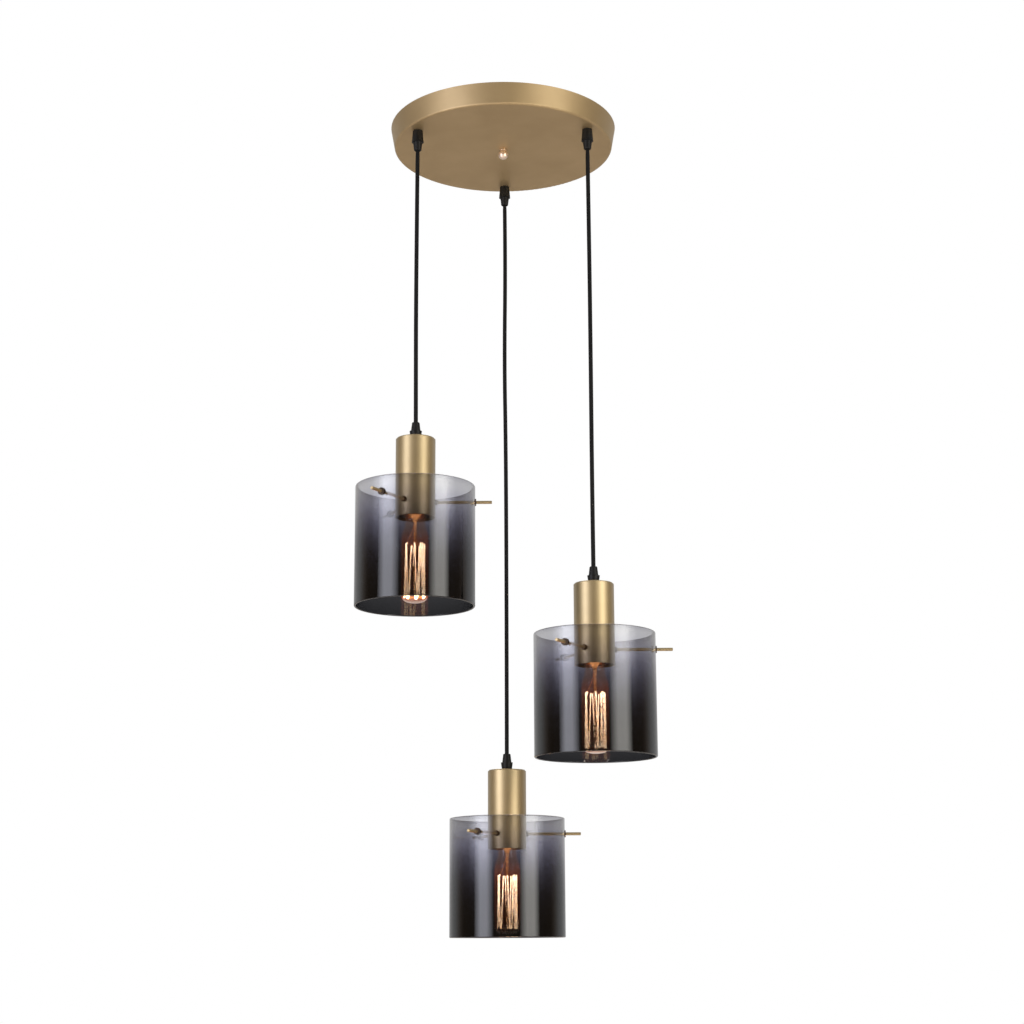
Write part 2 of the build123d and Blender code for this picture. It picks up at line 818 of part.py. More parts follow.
def make_filament(name, x, y, top):
    """Filament bent round the stem, and the two spiders of wires that hold its bends."""
    high = top - filament_top_drop
    low = high - filament_height
    route = filament_route(x, y, high, low)
    radii = [
        0.45 * min((b - a).length, (c - b).length)
        for a, b, c in zip(route, route[1:], route[2:])
    ]
    inner = stem_rod_d / 2 + stem_gap
    with BuildPart() as filament:
        with BuildLine() as path:
            FilletPolyline(*route, radius=radii)
        with BuildSketch(Plane(origin=path.line @ 0, z_dir=path.line % 0)):
            RegularPolygon(filament_wire_d / 2, 6)
        sweep()
        for level_z, ring_d, half_step, hooks in (
            (high, filament_top_d, 0.0, filament_loops),
            (low, filament_foot_d, 0.5, filament_loops - 1),
        ):
            reach = ring_d / 2 - filament_wire_d - stem_gap
            for i in range(hooks):
                turn = 360.0 * (i + half_step) / filament_loops
                angle = radians(filament_first_angle + turn)
                out = Vector(cos(angle), sin(angle), 0)
                centre = Vector(x, y, level_z)
                add(bar(centre + out * inner, centre + out * reach, support_wire_d))
    finish(filament, f"{name}_filament")


# ---- build everything ---------------------------------------------------------------
os.makedirs("parts", exist_ok=True)
make_canopy()
make_bracket()
make_fixings()
make_ball_nut()
make_terminal_block()
make_inner_leads()
make_canopy_grips()
make_canopy_grip_nuts()
for lamp, (lamp_x, lamp_y) in exits.items():
    cup_top = cup_tops[lamp]
    make_cords(lamp, lamp_x, lamp_y)
    make_lamp_grip(lamp, lamp_x, lamp_y, cup_top)
    make_nipple(lamp, lamp_x, lamp_y, cup_top)
    make_cup(lamp, lamp_x, lamp_y, cup_top)
    make_lampholder(lamp, lamp_x, lamp_y, cup_top)
    make_holder_contacts(lamp, lamp_x, lamp_y, cup_top)
    make_rods(lamp, lamp_x, lamp_y, cup_top)
    make_rod_nuts(lamp, lamp_x, lamp_y, cup_top)
    make_grommets(lamp, lamp_x, lamp_y, cup_top)
    make_shade(lamp, lamp_x, lamp_y, cup_top)
    make_bulb_contact(lamp, lamp_x, lamp_y, cup_top)
    make_bulb_cap(lamp, lamp_x, lamp_y, cup_top)
    make_bulb_glass(lamp, lamp_x, lamp_y, cup_top)
    make_bulb_stem(lamp, lamp_x, lamp_y, cup_top)
    make_filament(lamp, lamp_x, lamp_y, cup_top)
print(len(made), "nodes; cup tops", {k: round(v, 1) for k, v in cup_tops.items()})
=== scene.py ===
import bmesh
import bpy
from math import ceil, cos, pi, radians, sin
from mathutils import Matrix, Vector


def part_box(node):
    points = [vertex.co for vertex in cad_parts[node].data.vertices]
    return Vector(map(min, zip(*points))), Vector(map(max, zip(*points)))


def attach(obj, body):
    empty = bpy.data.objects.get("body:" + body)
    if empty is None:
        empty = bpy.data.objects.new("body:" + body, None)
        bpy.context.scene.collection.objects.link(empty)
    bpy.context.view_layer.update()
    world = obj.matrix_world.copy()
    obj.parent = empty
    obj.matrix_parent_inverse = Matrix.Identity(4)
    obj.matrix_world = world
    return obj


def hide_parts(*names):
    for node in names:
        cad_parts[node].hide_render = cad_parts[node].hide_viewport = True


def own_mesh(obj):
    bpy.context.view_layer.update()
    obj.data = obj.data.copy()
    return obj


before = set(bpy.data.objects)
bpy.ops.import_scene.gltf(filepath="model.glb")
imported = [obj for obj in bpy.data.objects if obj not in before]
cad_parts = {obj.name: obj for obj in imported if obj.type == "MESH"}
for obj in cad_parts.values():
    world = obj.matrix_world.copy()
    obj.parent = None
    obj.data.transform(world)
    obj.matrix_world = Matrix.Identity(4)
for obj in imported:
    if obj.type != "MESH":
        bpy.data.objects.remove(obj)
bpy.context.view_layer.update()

# Cluster pendant: three glass lamps on one round canopy. Sizes are in millimetres
# unless a line says otherwise; MM turns them into the scene's metres.
MM = 0.001
LAMPS = ("left", "right", "back")

# ---- sizes shared with the solids --------------------------------------------------
cord_d = 5.4
cord_start = -53.0             # the cord's bend, inside the canopy grip's mouth
cord_neck = 0.85               # slimmer at the bend, clear of the grip's mouth as the lamp swings
# sideways places of each cord between its ends, as (share of the way down, x, y)
cord_bows = {
    "left": ((0.3, -0.5, 0.2), (0.62, -0.7, -0.3), (0.85, -0.3, 0.1)),
    "right": ((0.25, 0.5, -0.3), (0.55, 0.3, 0.3), (0.82, -0.2, -0.2)),
    "back": ((0.12, 0.7, 0.3), (0.3, -1.3, 0.4), (0.46, 0.3, -0.4), (0.72, 0.5, -0.2)),
}
shade_drop = 62.5              # cup's top to the glass's upper rim
shade_height = 152.0
cap_d = 26.0
cap_top_drop = 74.3            # 0.1 below the insulator, so that the two never touch
cap_length = 22.9
cap_wall = 0.4
cap_lead_in = 2.5              # tapered start of the cap, below its crown
cap_inner_step = 1.0           # from the end of that taper to the inner corner
cap_crown_d = 13.0             # hole in the crown, round the insulator
cap_row_h = 0.45               # height of one row of the thread's mesh
thread_pitch = 3.63
thread_depth = 0.9
thread_start = 5.0             # below the cap's upper end
thread_turns = 4.2
thread_fade = 8                # the thread fades in and out over one eighth of its length
filament_top_drop = 136.0      # cup's top to the filament's upper bends
filament_height = 67.0
filament_top_d = 23.5
filament_foot_d = 25.0
filament_loops = 7
filament_first_angle = 265.0
filament_hook_half_angle = 6.0
filament_coil_d = 1.6
filament_bend_r = 1.2
support_wire_d = 0.8
support_root = 0.3             # how deep the support wires stand in the stem's rod
stem_rod_d = 3.6
lead_wire_d = 0.7
pinch_drop = 112.0             # where the leads come out of the stem's pinch
pinch_half_gap = 1.2
lead_bend_share = 0.45         # a lead sags at this share of the way from pinch to hook
lead_sag = 4.0
bulb_foot_drop = 210.0         # cup's top to the bulb's lower end
# painted glow of the lit filament's light in the bulb's glass: depth below the cup's top and colour
bulb_painted_glow = (
    (0.0, "3A2820"), (118.0, "5A3C30"), (136.0, "B85C34"), (196.0, "A45030"), (210.0, "4A2014"),
)
# painted glow of the filament's light in the stem's glass: depth below the cup's top and colour
stem_painted_glow = ((0.0, "6A3A1C"), (110.0, "F0B070"), (140.0, "D8904C"), (210.0, "9A5828"))
# the smoke coat: depth below the upper rim and the colour that one wall lets through
smoke_fade = (
    (0.0, "A8A8AE"), (6.0, "BABABE"), (12.0, "BBBBC0"), (25.0, "AAAAB4"), (36.0, "9C9CA8"),
    (46.0, "8C8C98"), (57.0, "7C7C87"), (69.0, "6E6E78"), (81.0, "5F5F67"), (100.0, "48484E"),
    (125.0, "373739"), (152.0, "29292B"),
)
smooth_below = 35.0            # degrees: sharper edges of the new meshes stay sharp
# turning marks of the brass, for each metre: drawn about 1 mm apart, coarser than real ones,
# so that they show
turning_marks = 900.0

# ---- the studio, in metres and degrees ---------------------------------------------
floor_z = -1.75
floor_radius = 7.5
floor_white = 0.55             # share of plain white in the floor, as the camera sees it
room_dim = 0.12                # level of the room in front of the lamps
room_bright = 0.48             # and behind them and overhead
softbox_distance = 2.3
softbox_top = 0.38
softbox_foot = -1.7
sensor_width = 36.0            # millimetres, as is the lens
camera_lens = 67.42
camera_place = (0.033, -2.4, -1.0735)
camera_yaw = 0.56
camera_pitch = 12.86           # above the horizon
camera_roll = -0.268


def linear(code):
    """Linear RGBA of an sRGB hex colour."""
    channels = [int(code[i:i + 2], 16) / 255 for i in (0, 2, 4)]
    return [c / 12.92 if c <= 0.04045 else ((c + 0.055) / 1.055) ** 2.4 for c in channels] + [1.0]


def add(tree, kind, inputs=None, **settings):
    """Adds a node with its settings; an input takes a value, a socket or a node's first output."""
    made = tree.nodes.new(kind)
    for name, value in settings.items():
        setattr(made, name, value)
    for name, value in (inputs or {}).items():
        if isinstance(value, bpy.types.Node):
            value = value.outputs[0]
        if isinstance(value, bpy.types.NodeSocket):
            tree.links.new(value, made.inputs[name])
        else:
            made.inputs[name].default_value = value
    return made


def ramp(tree, factor, stops):
    """Colour ramp whose stops are (place, linear colour)."""
    made = add(tree, "ShaderNodeValToRGB", {0: factor})
    band = made.color_ramp
    for place, colour in stops[1:-1]:
        band.elements.new(place).color = colour
    band.elements[0].position, band.elements[0].color = stops[0]
    band.elements[-1].position, band.elements[-1].color = stops[-1]
    return made


def new_finish(name):
    """Empty material tree with its output."""
    material = bpy.data.materials.new(name)
    material.use_nodes = True
    material.node_tree.nodes.clear()
    return material, material.node_tree, material.node_tree.nodes.new("ShaderNodeOutputMaterial")


# ---- finishes ------------------------------------------------------------------------
def satin_brass(name, centre, flat_on, roughness, coat=1.0, dark="B9A377", light="C3AE82"):
    """Spun or drawn brass, satin brushed on the lathe and lacquered: soft wide highlights,
    turning marks that run round the axis through centre, a faint cloudy variation in the
    lacquer. With flat_on the marks are rings on a flat face, and otherwise hoops on a wall."""
    material, tree, out = new_finish(name)
    coords = add(tree, "ShaderNodeTexCoord").outputs["Object"]
    back = [-c for c in centre]
    placed = add(tree, "ShaderNodeMapping", {"Vector": coords, "Location": back})
    parts = add(tree, "ShaderNodeSeparateXYZ", {0: placed})
    flat = add(tree, "ShaderNodeCombineXYZ", {0: parts.outputs[0], 1: parts.outputs[1]})
    radius = add(tree, "ShaderNodeVectorMath", {0: flat}, operation="LENGTH").outputs["Value"]
    across = radius if flat_on else parts.outputs[2]
    angle = add(tree, "ShaderNodeMath", {0: parts.outputs[1], 1: parts.outputs[0]}, operation="ARCTAN2")
    drawn_out = add(tree, "ShaderNodeMath", {0: angle, 1: 0.002}, operation="MULTIPLY")
    marks_at = add(tree, "ShaderNodeCombineXYZ", {0: across, 1: drawn_out})
    marks = add(tree, "ShaderNodeTexNoise", {
        "Vector": marks_at, "Scale": turning_marks, "Detail": 3.0, "Roughness": 0.6,
    })
    clouds = add(tree, "ShaderNodeTexNoise", {"Vector": placed, "Scale": 18.0, "Detail": 4.0})
    colour = ramp(tree, clouds, [(0.3, linear(dark)), (0.7, linear(light))])
    rough = add(tree, "ShaderNodeMapRange", {0: marks, 3: roughness - 0.04, 4: roughness + 0.04})
    relief = add(tree, "ShaderNodeBump", {"Strength": 0.05, "Distance": 0.0002, "Height": marks})
    shader = add(tree, "ShaderNodeBsdfPrincipled", {
        "Base Color": colour, "Metallic": 1.0, "Roughness": rough, "Normal": relief,
        "Coat Weight": coat, "Coat Roughness": 0.35,
    })
    tree.links.new(shader.outputs[0], out.inputs[0])
    return material


def plain_metal(name, dark, light, roughness, grain_mm):
    """Pressed or plated metal: cloudy plating and fine tumbling marks of about grain_mm."""
    material, tree, out = new_finish(name)
    coords = add(tree, "ShaderNodeTexCoord").outputs["Object"]
    grain = add(tree, "ShaderNodeTexNoise", {"Vector": coords, "Scale": 1.0 / (grain_mm * MM), "Detail": 3.0})
    clouds = add(tree, "ShaderNodeTexNoise", {"Vector": coords, "Scale": 60.0, "Detail": 2.0})
    colour = ramp(tree, clouds, [(0.3, linear(dark)), (0.7, linear(light))])
    rough = add(tree, "ShaderNodeMapRange", {0: grain, 3: roughness - 0.06, 4: roughness + 0.06})
    relief = add(tree, "ShaderNodeBump", {"Strength": 0.1, "Distance": 0.0001, "Height": grain})
    shader = add(tree, "ShaderNodeBsdfPrincipled", {
        "Base Color": colour, "Metallic": 1.0, "Roughness": rough, "Normal": relief,
    })
    tree.links.new(shader.outputs[0], out.inputs[0])
    return material


def moulded(name, dark, light, roughness, grain_mm, relief, shine=0.5):
    """Moulded nylon, PVC, rubber, phenolic or glass: a fine grain and a slightly uneven colour."""
    material, tree, out = new_finish(name)
    coords = add(tree, "ShaderNodeTexCoord").outputs["Object"]
    grain = add(tree, "ShaderNodeTexNoise", {"Vector": coords, "Scale": 1.0 / (grain_mm * MM), "Detail": 4.0})
    clouds = add(tree, "ShaderNodeTexNoise", {"Vector": coords, "Scale": 90.0, "Detail": 2.0})
    colour = ramp(tree, clouds, [(0.35, linear(dark)), (0.7, linear(light))])
    rough = add(tree, "ShaderNodeMapRange", {0: grain, 3: roughness - 0.05, 4: roughness + 0.08})
    bumps = add(tree, "ShaderNodeBump", {"Strength": relief, "Distance": 0.0002, "Height": grain})
    shader = add(tree, "ShaderNodeBsdfPrincipled", {
        "Base Color": colour, "Roughness": rough, "Normal": bumps, "Specular IOR Level": shine,
    })
    tree.links.new(shader.outputs[0], out.inputs[0])
    return material


def cord_jacket():
    """Extruded PVC jacket: black, a little shiny, drawn lines along it and a slight waviness."""
    material, tree, out = new_finish("extruded PVC jacket")
    unrolled = add(tree, "ShaderNodeUVMap", uv_map="unrolled")
    drawn = add(tree, "ShaderNodeMapping", {"Vector": unrolled, "Scale": (14.0, 6.0, 1.0)})
    lines = add(tree, "ShaderNodeTexNoise", {"Vector": drawn, "Scale": 4.0, "Detail": 3.0})
    waves = add(tree, "ShaderNodeTexNoise", {"Vector": unrolled, "Scale": 45.0, "Detail": 1.0})
    colour = ramp(tree, waves, [(0.3, linear("0A0A0A")), (0.7, linear("121211"))])
    rough = add(tree, "ShaderNodeMapRange", {0: lines, 3: 0.6, 4: 0.68})
    relief = add(tree, "ShaderNodeBump", {"Strength": 0.05, "Distance": 0.0002, "Height": lines})
    shader = add(tree, "ShaderNodeBsdfPrincipled", {
        "Base Color": colour, "Roughness": rough, "Normal": relief, "Specular IOR Level": 0.2,
    })
    tree.links.new(shader.outputs[0], out.inputs[0])
    return material


def smoked_glass(lamp, rim_z):
    """Blown soda-lime cylinder, its smoke coat sprayed to fade: light grey near the upper rim,
    almost black below. Rays that light the pieces inside, or that they mirror, pass straight:
    hardly tinted near the rim and fully tinted lower, so that the studio lights the cup."""
    material, tree, out = new_finish(f"{lamp} smoke faded soda glass")
    coords = add(tree, "ShaderNodeTexCoord").outputs["Object"]
    height = add(tree, "ShaderNodeSeparateXYZ", {0: coords}).outputs[2]
    drift = add(tree, "ShaderNodeTexNoise", {"Vector": coords, "Scale": 14.0, "Detail": 1.0})
    wander = add(tree, "ShaderNodeMapRange", {0: drift, 3: -1.5 * MM, 4: 1.5 * MM})
    down = add(tree, "ShaderNodeMath", {0: rim_z, 1: height}, operation="SUBTRACT")
    uneven = add(tree, "ShaderNodeMath", {0: down, 1: wander}, operation="ADD")
    share = add(tree, "ShaderNodeMath", {0: uneven, 1: shade_height * MM}, operation="DIVIDE")
    tint = ramp(tree, share, [(depth / shade_height, linear(code)) for depth, code in smoke_fade])
    partly = add(tree, "ShaderNodeMapRange", {0: share, 1: 0.25, 2: 0.7, 3: 0.03, 4: 1.0})
    lighter = add(tree, "ShaderNodeGamma", {0: tint, 1: partly})
    shader = add(tree, "ShaderNodeBsdfPrincipled", {
        "Base Color": tint, "Roughness": 0.02, "IOR": 1.5, "Transmission Weight": 1.0,
        "Coat Weight": 0.25, "Coat Roughness": 0.06,
    })
    straight = add(tree, "ShaderNodeBsdfTransparent", {0: lighter})
    rays = add(tree, "ShaderNodeLightPath")
    mirror = rays.outputs["Is Reflection Ray"]
    mirrored = add(tree, "ShaderNodeMixShader", {0: mirror, 1: shader, 2: straight})
    shadow = rays.outputs["Is Shadow Ray"]
    mixed = add(tree, "ShaderNodeMixShader", {0: shadow, 1: mirrored, 2: straight})
    tree.links.new(mixed.outputs[0], out.inputs[0])
    return material


def lamp_glass(name, cup_z, stops, glow, painted_wire_shade):
    """Blown lamp glass, clear with faint seeds, with a painted glow of the lit filament's light. stops are
    the depth below the cup's top and the painted glow's colour there; the last argument breaks the glow into
    patches of painted shade, as from the wires behind it."""
    material, tree, out = new_finish(name)
    coords = add(tree, "ShaderNodeTexCoord").outputs["Object"]
    seeds = add(tree, "ShaderNodeTexNoise", {"Vector": coords, "Scale": 240.0, "Detail": 2.0})
    tint = ramp(tree, seeds, [(0.3, linear("F8E6D2")), (0.7, linear("FFF6EA"))])
    relief = add(tree, "ShaderNodeBump", {"Strength": 0.1, "Distance": 0.0002, "Height": seeds})
    height = add(tree, "ShaderNodeSeparateXYZ", {0: coords}).outputs[2]
    down = add(tree, "ShaderNodeMath", {0: cup_z, 1: height}, operation="SUBTRACT")
    share = add(tree, "ShaderNodeMath", {0: down, 1: bulb_foot_drop * MM}, operation="DIVIDE")
    # painted glow of the filament's light, by depth below the cup's top, dimmed in patches by painted shade
    painted_glow_colour = ramp(tree, share, [(depth / bulb_foot_drop, linear(code)) for depth, code in stops])
    wire_shade_patches = add(tree, "ShaderNodeMapRange", {0: seeds, 1: 0.4, 2: 0.6, 3: 1.0 - painted_wire_shade, 4: 1.0})
    broken = add(tree, "ShaderNodeVectorMath", {0: painted_glow_colour, "Scale": wire_shade_patches}, operation="SCALE")
    shader = add(tree, "ShaderNodeBsdfPrincipled", {
        "Base Color": tint, "Roughness": 0.0, "IOR": 1.47, "Transmission Weight": 1.0, "Normal": relief,
        "Emission Color": broken, "Emission Strength": glow,
    })
    straight = add(tree, "ShaderNodeBsdfTransparent", {0: tint})
    shadow = add(tree, "ShaderNodeLightPath").outputs["Is Shadow Ray"]
    mixed = add(tree, "ShaderNodeMixShader", {0: shadow, 1: shader, 2: straight})
    tree.links.new(mixed.outputs[0], out.inputs[0])
    return material


def glowing_wire(name, deep, pale, strength):
    """Glowing wire, pale in patches and deep between. On the coiled filament the glow is its heat; on the
    support wires and leads it is painted light, the filament's light on them. Its mirror image is dimmed to a
    tenth, and an image of that image to nothing."""
    material, tree, out = new_finish(name)
    coords = add(tree, "ShaderNodeTexCoord").outputs["Object"]
    turns = add(tree, "ShaderNodeTexNoise", {"Vector": coords, "Scale": 320.0, "Detail": 1.0})
    colour = ramp(tree, turns, [(0.3, linear(deep)), (0.6, linear(pale))])
    bounces = add(tree, "ShaderNodeLightPath").outputs["Glossy Depth"]
    mirrored = add(tree, "ShaderNodeMath", {0: bounces, 1: 0.9}, operation="MULTIPLY")
    black = linear("000000")
    seen = add(tree, "ShaderNodeMixRGB", {0: mirrored, 1: colour, 2: black}, use_clamp=True)
    shader = add(tree, "ShaderNodeBsdfPrincipled", {
        "Base Color": linear("3A3632"), "Roughness": 0.5, "Metallic": 1.0,
        "Emission Color": seen, "Emission Strength": strength,
    })
    tree.links.new(shader.outputs[0], out.inputs[0])
    return material


# ---- pieces -----------------------------------------------------------------------------
def shown(name, mesh, material):
    """Object of a finished mesh with its one material, shaded smooth across its blunt edges."""
    piece = bpy.data.objects.new(name, mesh)
    bpy.context.scene.collection.objects.link(piece)
    mesh.materials.clear()
    mesh.materials.append(material)
    mesh.shade_smooth()
    mesh.set_sharp_from_angle(angle=radians(smooth_below))
    return piece


def turned(name, section, centre, material, steps, bend):
    """Shell of revolution. section is a closed loop of (radius, depth below the centre) in
    millimetres; bend changes a point's radius by its angle and depth."""
    work = bmesh.new()
    rings = []
    for radius, depth in section:
        ring = []
        for i in range(steps):
            angle = 2 * pi * i / steps
            r = bend(radius, angle, depth)
            ring.append(work.verts.new((r * cos(angle), r * sin(angle), -depth)))
        rings.append(ring)
    for near, far in zip(rings, rings[1:] + rings[:1]):
        for i in range(steps):
            j = (i + 1) % steps
            work.faces.new((near[i], far[i], far[j], near[j]))
    bmesh.ops.recalc_face_normals(work, faces=work.faces)
    mesh = bpy.data.meshes.new(name)
    work.to_mesh(mesh)
    work.free()
    mesh.transform(Matrix.Translation(centre) @ Matrix.Scale(MM, 4))
    return shown(name, mesh, material)


def smooth_line(points):
    """Points along the NURBS spline that has the route's points as its control points."""
    curve = bpy.data.curves.new("route", "CURVE")
    curve.dimensions = "3D"
    spline = curve.splines.new("NURBS")
    spline.points.add(len(points) - 1)
    for control, point in zip(spline.points, points):
        control.co = (*point, 1.0)
    spline.order_u = 3
    spline.use_endpoint_u = True
    spline.resolution_u = 16
    route = bpy.data.objects.new("route", curve)
    line = bpy.data.meshes.new_from_object(route)
    found = [v.co.copy() for v in line.vertices]
    bpy.data.objects.remove(route)
    return found


def tube(name, path, radius, material, sides=24, neck=1.0):
    """Round tube along a path, capped, with an unrolled UV map in metres round and along. neck is
    the first ring's share of the radius: the tube tapers from there to the second ring."""
    work = bmesh.new()
    unrolled = work.loops.layers.uv.new("unrolled")
    ahead = (path[1] - path[0]).normalized()
    side = ahead.orthogonal().normalized()
    rings, lengths, length = [], [], 0.0
    for i, point in enumerate(path):
        ahead = (path[min(i + 1, len(path) - 1)] - path[max(i - 1, 0)]).normalized()
        side = (side - ahead * side.dot(ahead)).normalized()
        other = ahead.cross(side)
        length += (point - path[i - 1]).length if i else 0.0
        lengths.append(length)
        girth = radius if i else radius * neck
        turns = [2 * pi * k / sides for k in range(sides)]
        rings.append([work.verts.new(point + (side * cos(t) + other * sin(t)) * girth) for t in turns])
    for i in range(len(path) - 1):
        for k in range(sides):
            m = (k + 1) % sides
            face = work.faces.new((rings[i][k], rings[i][m], rings[i + 1][m], rings[i + 1][k]))
            around = (k, k + 1, k + 1, k)
            along = (i, i, i + 1, i + 1)
            for loop, u, v in zip(face.loops, around, along):
                loop[unrolled].uv = (2 * pi * radius * u / sides, lengths[v])
    work.faces.new(list(reversed(rings[0])))
    work.faces.new(rings[-1])
    bmesh.ops.recalc_face_normals(work, faces=work.faces)
    mesh = bpy.data.meshes.new(name)
    work.to_mesh(mesh)
    work.free()
    return shown(name, mesh, material)


def growth(name, sizes):
    """Empty geometry tree with a named input for each size."""
    tree = bpy.data.node_groups.new(name, "GeometryNodeTree")
    for label, kind in sizes.items():
        tree.interface.new_socket(label, in_out="INPUT", socket_type=kind)
    tree.interface.new_socket("Geometry", in_out="OUTPUT", socket_type="NodeSocketGeometry")
    return tree, tree.nodes.new("NodeGroupInput").outputs, tree.nodes.new("NodeGroupOutput")


def grown(name, tree, sizes, place, material):
    """Plain mesh from a geometry tree with its sizes set, moved to its place."""
    piece = bpy.data.objects.new(name, bpy.data.meshes.new(name))
    bpy.context.scene.collection.objects.link(piece)
    modifier = piece.modifiers.new("growth", "NODES")
    modifier.node_group = tree
    for item in tree.interface.items_tree:
        if item.in_out == "INPUT":
            modifier[item.identifier] = sizes[item.name]
    graph = bpy.context.evaluated_depsgraph_get()
    mesh = bpy.data.meshes.new_from_object(piece.evaluated_get(graph), depsgraph=graph)
    bpy.data.objects.remove(piece)
    mesh.transform(Matrix.Translation(place))
    return shown(name, mesh, material)


FLOAT = "NodeSocketFloat"
WHOLE = "NodeSocketInt"


def round_place(tree, angle, radius):
    """x and y of what stands at an angle and a radius."""
    cosine = add(tree, "ShaderNodeMath", {0: angle}, operation="COSINE")
    sine = add(tree, "ShaderNodeMath", {0: angle}, operation="SINE")
    x = add(tree, "ShaderNodeMath", {0: cosine, 1: radius}, operation="MULTIPLY")
    y = add(tree, "ShaderNodeMath", {0: sine, 1: radius}, operation="MULTIPLY")
    return x, y


def end_growth(tree, shape, material, out):
    """Ends a geometry tree: its shape made real, with its material."""
    whole = add(tree, "GeometryNodeRealizeInstances", {0: shape})
    coated = add(tree, "GeometryNodeSetMaterial", {"Geometry": whole, "Material": material})
    tree.links.new(coated.outputs[0], out.inputs[0])


def filament_tree(material):
    """Wire that runs zigzag round the stem, bent narrowly over each upper hook and under each
    lower one. Its corners come in fours: two over an upper hook, two under a lower one."""
    tree, size, out = growth("filament", {
        "Loops": WHOLE, "Top Radius": FLOAT, "Foot Radius": FLOAT, "Height": FLOAT,
        "First Angle": FLOAT, "Half Hook": FLOAT, "Coil Radius": FLOAT,
    })
    corners = add(tree, "ShaderNodeMath", {0: size["Loops"], 1: 4.0, 2: -3.0}, operation="MULTIPLY_ADD")
    line = add(tree, "GeometryNodeMeshLine", {"Count": corners})
    index = add(tree, "ShaderNodeMath", {0: add(tree, "GeometryNodeInputIndex"), 1: 1.0}, operation="ADD")
    corner = add(tree, "ShaderNodeMath", {0: index, 1: 4.0}, operation="MODULO")
    quarter = add(tree, "ShaderNodeMath", {0: index, 1: 4.0}, operation="DIVIDE")
    loop = add(tree, "ShaderNodeMath", {0: quarter}, operation="FLOOR")
    below = add(tree, "ShaderNodeMath", {0: corner, 1: 1.5}, operation="GREATER_THAN")
    odd = add(tree, "ShaderNodeMath", {0: corner, 1: 2.0}, operation="MODULO")
    side = add(tree, "ShaderNodeMath", {0: odd, 1: 2.0, 2: -1.0}, operation="MULTIPLY_ADD")
    step = add(tree, "ShaderNodeMath", {0: 2 * pi, 1: size["Loops"]}, operation="DIVIDE")
    steps = add(tree, "ShaderNodeMath", {0: below, 1: 0.5, 2: loop}, operation="MULTIPLY_ADD")
    first = size["First Angle"]
    turn = add(tree, "ShaderNodeMath", {0: steps, 1: step, 2: first}, operation="MULTIPLY_ADD")
    hook = size["Half Hook"]
    angle = add(tree, "ShaderNodeMath", {0: side, 1: hook, 2: turn}, operation="MULTIPLY_ADD")
    ends = {0: below, 3: size["Top Radius"], 4: size["Foot Radius"]}
    radius = add(tree, "ShaderNodeMapRange", ends)
    x, y = round_place(tree, angle, radius)
    drop = add(tree, "ShaderNodeMath", {0: below, 1: size["Height"]}, operation="MULTIPLY")
    z = add(tree, "ShaderNodeMath", {0: drop, 1: -1.0}, operation="MULTIPLY")
    place = add(tree, "ShaderNodeCombineXYZ", {0: x, 1: y, 2: z})
    bent = add(tree, "GeometryNodeSetPosition", {"Geometry": line, "Position": place})
    wire = add(tree, "GeometryNodeMeshToCurve", {"Mesh": bent})
    rounded = add(tree, "GeometryNodeFilletCurve", {
        "Curve": wire, "Count": 5, "Radius": filament_bend_r * MM, "Limit Radius": True,
    }, mode="POLY")
    section = {"Resolution": 8, "Radius": size["Coil Radius"]}
    profile = add(tree, "GeometryNodeCurvePrimitiveCircle", section)
    solid = add(tree, "GeometryNodeCurveToMesh", {
        "Curve": rounded, "Profile Curve": profile, "Fill Caps": True,
    })
    end_growth(tree, solid, material, out)
    return tree


def spider_tree(material):
    """Ring of short straight wires that stand out from the stem's rod."""
    tree, size, out = growth("support wires", {
        "Count": WHOLE, "Inner Radius": FLOAT, "Reach": FLOAT, "Wire Radius": FLOAT,
        "First Angle": FLOAT, "Step": FLOAT,
    })
    points = add(tree, "GeometryNodeMeshLine", {"Count": size["Count"]})
    index = add(tree, "GeometryNodeInputIndex")
    turn = {0: index, 1: size["Step"], 2: size["First Angle"]}
    angle = add(tree, "ShaderNodeMath", turn, operation="MULTIPLY_ADD")
    middle = {0: size["Reach"], 1: 0.5, 2: size["Inner Radius"]}
    half = add(tree, "ShaderNodeMath", middle, operation="MULTIPLY_ADD")
    x, y = round_place(tree, angle, half)
    place = add(tree, "ShaderNodeCombineXYZ", {0: x, 1: y})
    placed = add(tree, "GeometryNodeSetPosition", {"Geometry": points, "Position": place})
    rod = {"Vertices": 8, "Radius": size["Wire Radius"], "Depth": size["Reach"]}
    wire = add(tree, "GeometryNodeMeshCylinder", rod).outputs["Mesh"]
    lie = add(tree, "ShaderNodeCombineXYZ", {1: pi / 2, 2: angle})
    spread = {"Points": placed, "Instance": wire, "Rotation": lie}
    ring = add(tree, "GeometryNodeInstanceOnPoints", spread)
    end_growth(tree, ring, material, out)
    return tree


def dress(material, *names):
    """Gives CAD nodes a finish in their own material slots."""
    for name in names:
        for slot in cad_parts[name].material_slots:
            slot.material = material


# ---- the cords ---------------------------------------------------------------------------
def middle_of(node):
    """A node's upright axis in x and y, with its highest point in z."""
    low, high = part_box(node)
    return Vector(((low.x + high.x) / 2, (low.y + high.y) / 2, high.z))


jacket = cord_jacket()
for lamp in LAMPS:
    grip_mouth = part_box(f"{lamp}_cord_grip")[1].z
    axis = middle_of(f"{lamp}_cord")
    start = Vector((axis.x, axis.y, cord_start * MM))
    end = Vector((axis.x, axis.y, grip_mouth))
    bows = [start.lerp(end, share) + Vector((x, y, 0)) * MM for share, x, y in cord_bows[lamp]]
    line = smooth_line([start, *bows, end])
    cord = tube(f"{lamp}_cord_jacket", line, cord_d / 2 * MM, jacket, neck=cord_neck)
    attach(cord, f"{lamp}_hanging_cord")
    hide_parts(f"{lamp}_cord")
    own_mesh(cord)

